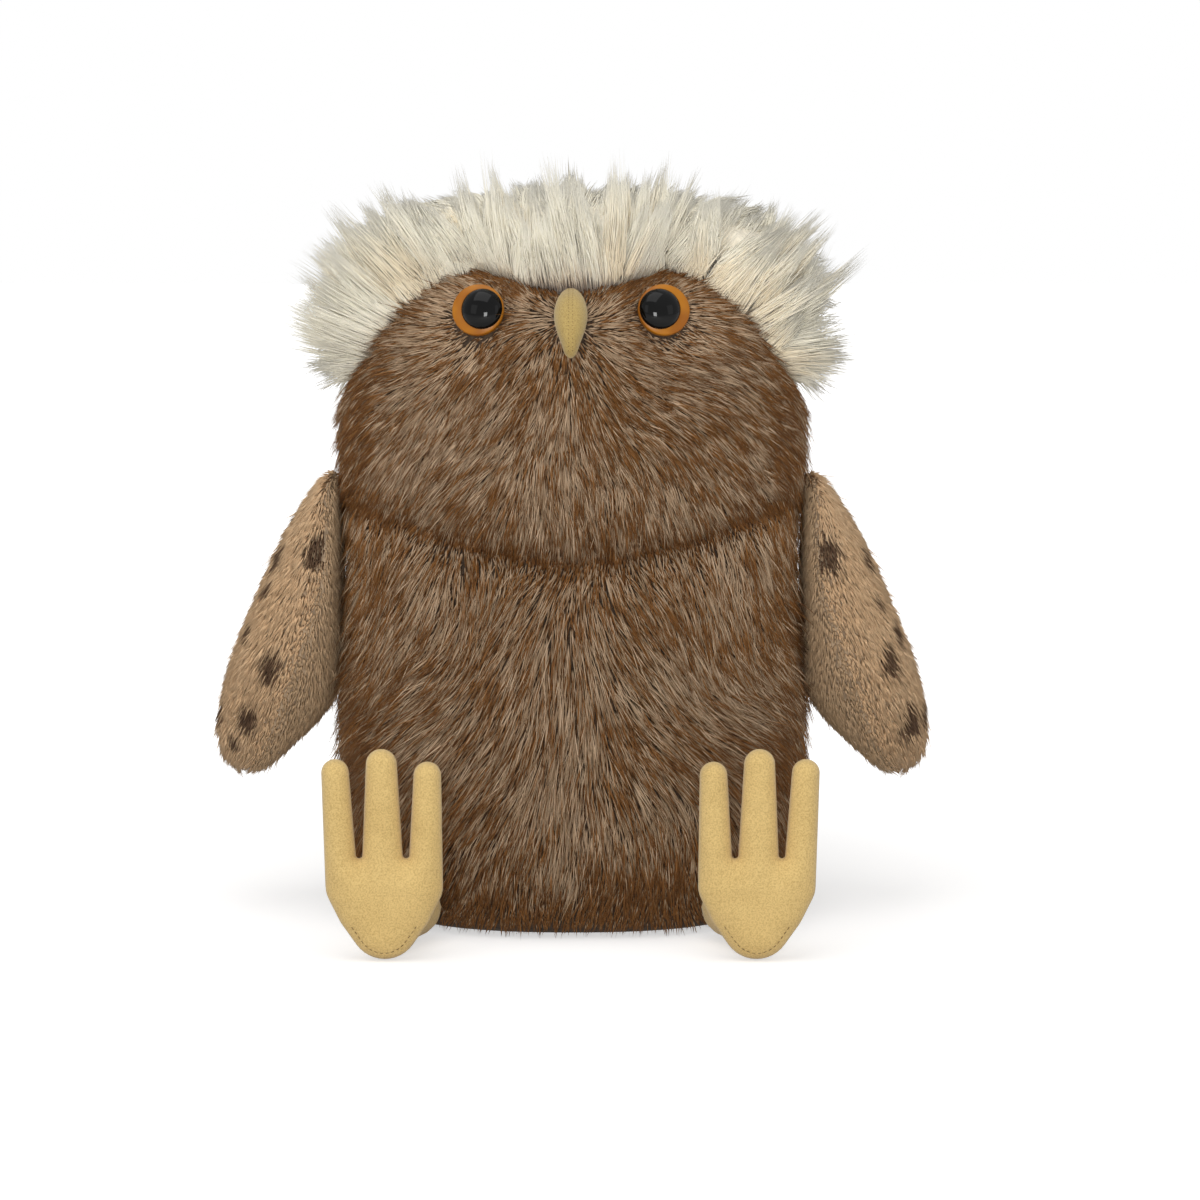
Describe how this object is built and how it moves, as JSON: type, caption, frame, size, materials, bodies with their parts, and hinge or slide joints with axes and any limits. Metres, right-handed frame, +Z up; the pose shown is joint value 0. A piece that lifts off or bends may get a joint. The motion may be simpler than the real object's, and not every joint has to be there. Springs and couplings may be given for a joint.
{
  "type": "plush owl",
  "caption": "Sitting stuffed owl toy with a brown shaggy body, a white shaggy crown, pillow wings and upright three-toed suedette feet.",
  "frame": {"origin": "middle of the flat underside on which the toy sits", "axes": "+Z up, -Y the way the face looks, +X the toy's own left side"},
  "size_m": [0.2136, 0.1566, 0.2145],
  "materials": {
    "brown_plush": "long pile, brown with darker roots and paler tips",
    "white_plush": "long shaggy pile, off-white",
    "wing_plush": "short pile, tan with dark brown spots",
    "wing_lining": "short pile, plain tan",
    "mustard_suedette": "brushed suedette, mustard with a fine speckle",
    "amber_plastic": "glossy, amber",
    "black_plastic": "glossy, black",
    "washer_plastic": "matt, white",
    "wadding": "polyester wadding",
    "pouch_cloth": "plain woven pouch full of beads"
  },
  "bodies": {
    "trunk": {"face_left_panel": "brown_plush", "chest_left_panel": "brown_plush", "back_left_panel": "brown_plush", "face_right_panel": "brown_plush", "chest_right_panel": "brown_plush", "back_right_panel": "brown_plush", "crown_panel": "white_plush", "base_panel": "brown_plush", "bean_pouch": "pouch_cloth", "body_stuffing": "wadding", "head_stuffing": "wadding", "eye_left_iris": "amber_plastic", "eye_left_pupil": "black_plastic", "eye_left_washer": "washer_plastic", "beak_left_panel": "mustard_suedette", "eye_right_iris": "amber_plastic", "eye_right_pupil": "black_plastic", "eye_right_washer": "washer_plastic", "beak_right_panel": "mustard_suedette", "beak_stuffing": "wadding"},
    "wing_left": {"wing_left_outer_panel": "wing_plush", "wing_left_inner_panel": "wing_lining", "wing_left_stuffing": "wadding"},
    "leg_left": {"leg_left_sleeve": "mustard_suedette", "leg_left_stuffing": "wadding"},
    "foot_left": {"foot_left_sole_panel": "mustard_suedette", "foot_left_back_panel": "mustard_suedette", "foot_left_stuffing": "wadding"},
    "wing_right": {"wing_right_outer_panel": "wing_plush", "wing_right_inner_panel": "wing_lining", "wing_right_stuffing": "wadding"},
    "leg_right": {"leg_right_sleeve": "mustard_suedette", "leg_right_stuffing": "wadding"},
    "foot_right": {"foot_right_sole_panel": "mustard_suedette", "foot_right_back_panel": "mustard_suedette", "foot_right_stuffing": "wadding"}
  },
  "joints": [
    {"name": "wing_left_flap", "type": "hinge", "parent": "trunk", "child": "wing_left", "pos_m": [0.07187, 0.002, 0.129], "axis": [0, -1, 0], "range_deg": [0, 80]},
    {"name": "hip_left_swing", "type": "hinge", "parent": "trunk", "child": "leg_left", "pos_m": [0.04567, -0.05088, 0.00941], "axis": [-1, 0, 0], "range_deg": [-40, 10], "stiffness_Nm_per_rad": 0.05},
    {"name": "ankle_left_bend", "type": "hinge", "parent": "leg_left", "child": "foot_left", "pos_m": [0.0501, -0.0656, 0.0088], "axis": [1, 0, 0], "range_deg": [-5, 50], "stiffness_Nm_per_rad": 0.03},
    {"name": "wing_right_flap", "type": "hinge", "parent": "trunk", "child": "wing_right", "pos_m": [-0.07187, 0.002, 0.129], "axis": [0, 1, 0], "range_deg": [0, 80]},
    {"name": "hip_right_swing", "type": "hinge", "parent": "trunk", "child": "leg_right", "pos_m": [-0.04567, -0.05088, 0.00941], "axis": [-1, 0, 0], "range_deg": [-40, 10], "stiffness_Nm_per_rad": 0.05},
    {"name": "ankle_right_bend", "type": "hinge", "parent": "leg_right", "child": "foot_right", "pos_m": [-0.0501, -0.0656, 0.0088], "axis": [1, 0, 0], "range_deg": [-5, 50], "stiffness_Nm_per_rad": 0.03}
  ]
}
